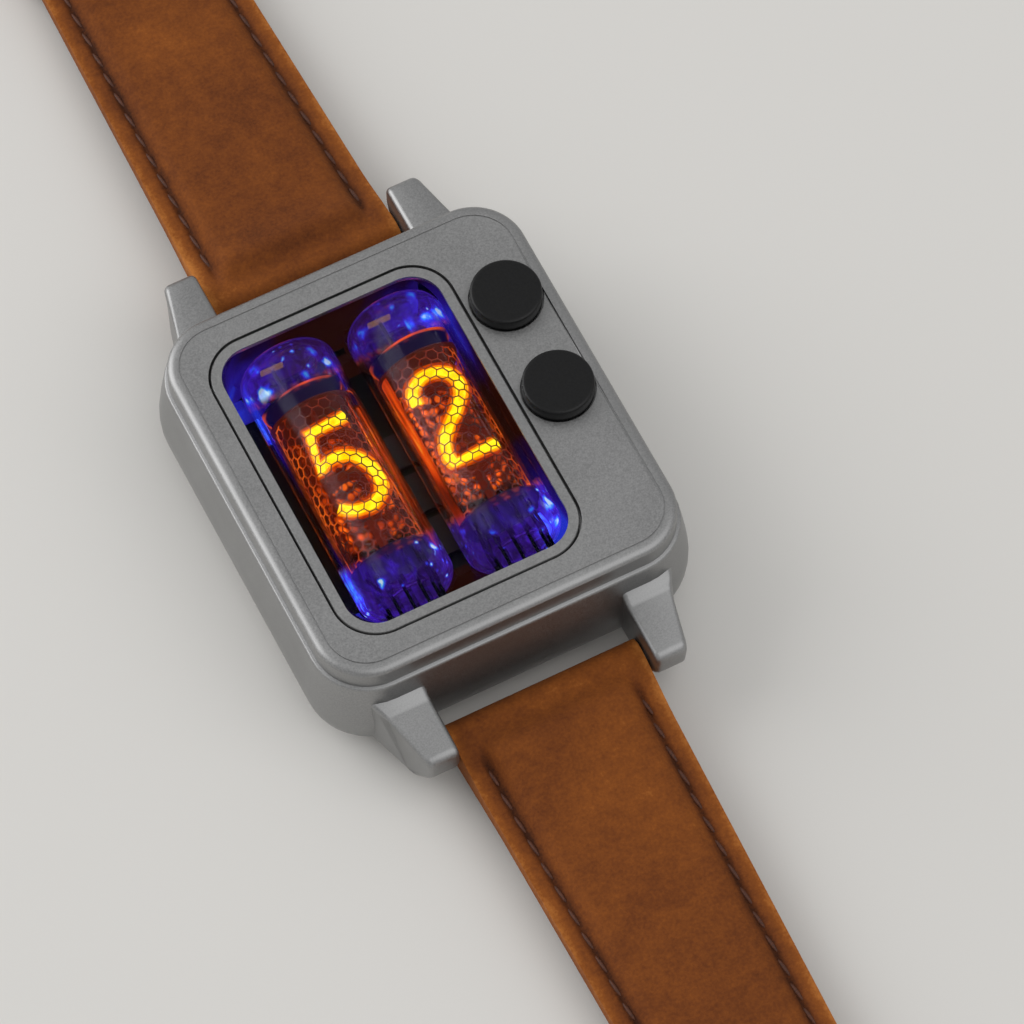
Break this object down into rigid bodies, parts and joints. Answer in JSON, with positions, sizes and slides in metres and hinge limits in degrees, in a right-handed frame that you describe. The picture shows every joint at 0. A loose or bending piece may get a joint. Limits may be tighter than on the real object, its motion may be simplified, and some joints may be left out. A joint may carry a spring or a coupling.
{
  "type": "nixie tube wristwatch",
  "caption": "Wristwatch with a pair of glowing digit tubes under a flat crystal, push buttons on the face and a padded leather strap with a pin buckle.",
  "frame": {"origin": "middle of the case back's flat face, on the surface that the watch lies on", "axes": "+Z out of the face, +Y to twelve o'clock along the strap, +X to the side with the push buttons"},
  "size_m": [0.0468, 0.2644, 0.0188],
  "materials": {
    "case_metal": "bead-blasted satin grey steel",
    "crystal_glass": "flat clear mineral crystal",
    "black_rubber": "matte black seal rubber",
    "bright_steel": "turned stainless steel",
    "gilt_brass": "gold-plated contact",
    "black_plastic": "matte black",
    "board_green": "solder mask over glass laminate",
    "ferrite": "dark ferrite with a lacquered winding",
    "capacitor_body": "moulded capacitor",
    "blue_lamp": "lit blue lamp",
    "cell_foil": "laminated foil pouch",
    "red_wire": "insulated wire",
    "switch_body": "satin",
    "tube_glass": "clear drawn glass",
    "anode_steel": "etched mesh lit by the discharge",
    "digit_glow": "lit cathode with its neon glow",
    "cathode_steel": "dull stamped cathode",
    "insulator": "pale ceramic and mica",
    "lead_wire": "tinned wire",
    "getter_metal": "burnt brown getter strip",
    "black_button": "satin black",
    "tan_leather": "tan nubuck with a burnished edge"
  },
  "bodies": {
    "case": {"midcase": "case_metal", "bezel": "case_metal", "window_ring": "case_metal", "crystal": "crystal_glass", "crystal_gasket": "black_rubber", "bezel_gasket": "black_rubber", "case_back": "case_metal", "back_gasket": "black_rubber", "case_screws": "bright_steel", "charge_pins": "gilt_brass", "tube_cradle": "black_plastic", "cradle_screws": "bright_steel", "main_board": "board_green", "controller_chip": "black_plastic", "driver_chips": "black_plastic", "boost_inductor": "ferrite", "hv_capacitor": "capacitor_body", "backlight_leds": "blue_lamp", "battery": "cell_foil", "battery_pad": "black_rubber", "battery_leads": "red_wire", "button_board": "board_green", "board_link": "black_plastic", "switch_upper": "switch_body", "switch_lower": "switch_body", "tube_glass_left": "tube_glass", "tube_glass_right": "tube_glass", "anode_mesh_left": "anode_steel", "anode_mesh_right": "anode_steel", "lit_digit_left": "digit_glow", "lit_digit_right": "digit_glow", "cathodes_left": "cathode_steel", "cathodes_right": "cathode_steel", "stack_frame_left": "insulator", "stack_frame_right": "insulator", "tube_leads": "lead_wire", "getters": "getter_metal"},
    "upper_button": {"button_upper": "black_button", "seal_upper": "black_rubber", "clip_upper": "bright_steel", "plunger_upper": "black_plastic"},
    "lower_button": {"button_lower": "black_button", "seal_lower": "black_rubber", "clip_lower": "bright_steel", "plunger_lower": "black_plastic"},
    "short_strap": {"strap_short_inner": "tan_leather", "bar_upper": "bright_steel"},
    "short_strap_end": {"strap_short_outer": "tan_leather", "keeper_fixed": "tan_leather"},
    "sliding_keeper": {"keeper_sliding": "tan_leather"},
    "buckle": {"buckle_frame": "case_metal", "buckle_pin": "bright_steel"},
    "tongue": {"buckle_tongue": "case_metal"},
    "long_strap": {"strap_long_inner": "tan_leather", "bar_lower": "bright_steel"},
    "long_strap_end": {"strap_long_outer": "tan_leather"},
    "upper_tip_left": {"bar_upper_tip_left": "bright_steel"},
    "upper_tip_right": {"bar_upper_tip_right": "bright_steel"},
    "lower_tip_left": {"bar_lower_tip_left": "bright_steel"},
    "lower_tip_right": {"bar_lower_tip_right": "bright_steel"}
  },
  "joints": [
    {"name": "upper_button_press", "type": "slide", "parent": "case", "child": "upper_button", "axis": [0, 0, -1], "range_m": [0, 0.0005], "stiffness_N_per_m": 900, "springref_m": -0.0004},
    {"name": "lower_button_press", "type": "slide", "parent": "case", "child": "lower_button", "axis": [0, 0, -1], "range_m": [0, 0.0005], "stiffness_N_per_m": 900, "springref_m": -0.0004},
    {"name": "short_strap_swing", "type": "hinge", "parent": "case", "child": "short_strap", "pos_m": [0, 0.0305, 0.0054], "axis": [1, 0, 0], "range_deg": [-70, 30]},
    {"name": "long_strap_swing", "type": "hinge", "parent": "case", "child": "long_strap", "pos_m": [0, -0.0305, 0.0054], "axis": [-1, 0, 0], "range_deg": [-70, 30]},
    {"name": "short_strap_flex", "type": "hinge", "parent": "short_strap", "child": "short_strap_end", "pos_m": [0, 0.06642, 0.0027], "axis": [1, 0, 0], "range_deg": [-55, 0]},
    {"name": "long_strap_flex", "type": "hinge", "parent": "long_strap", "child": "long_strap_end", "pos_m": [0, -0.06643, 0.00296], "axis": [-1, 0, 0], "range_deg": [-60, 0]},
    {"name": "keeper_slide", "type": "slide", "parent": "short_strap_end", "child": "sliding_keeper", "axis": [0, -0.999, 0.0446], "range_m": [-0.0018, 0.009]},
    {"name": "buckle_swing", "type": "hinge", "parent": "short_strap_end", "child": "buckle", "pos_m": [0, 0.10543, 0.00206], "axis": [1, 0, 0], "range_deg": [-50, 40]},
    {"name": "tongue_lift", "type": "hinge", "parent": "buckle", "child": "tongue", "pos_m": [0, 0.10543, 0.00206], "axis": [1, 0, 0], "range_deg": [0, 80]},
    {"name": "upper_tip_left_press", "type": "slide", "parent": "short_strap", "child": "upper_tip_left", "axis": [1, 0, 0], "range_m": [0, 0.0018], "stiffness_N_per_m": 1200, "springref_m": -0.0008},
    {"name": "upper_tip_right_press", "type": "slide", "parent": "short_strap", "child": "upper_tip_right", "axis": [-1, 0, 0], "range_m": [0, 0.0018], "stiffness_N_per_m": 1200, "springref_m": -0.0008},
    {"name": "lower_tip_left_press", "type": "slide", "parent": "long_strap", "child": "lower_tip_left", "axis": [1, 0, 0], "range_m": [0, 0.0018], "stiffness_N_per_m": 1200, "springref_m": -0.0008},
    {"name": "lower_tip_right_press", "type": "slide", "parent": "long_strap", "child": "lower_tip_right", "axis": [-1, 0, 0], "range_m": [0, 0.0018], "stiffness_N_per_m": 1200, "springref_m": -0.0008}
  ]
}
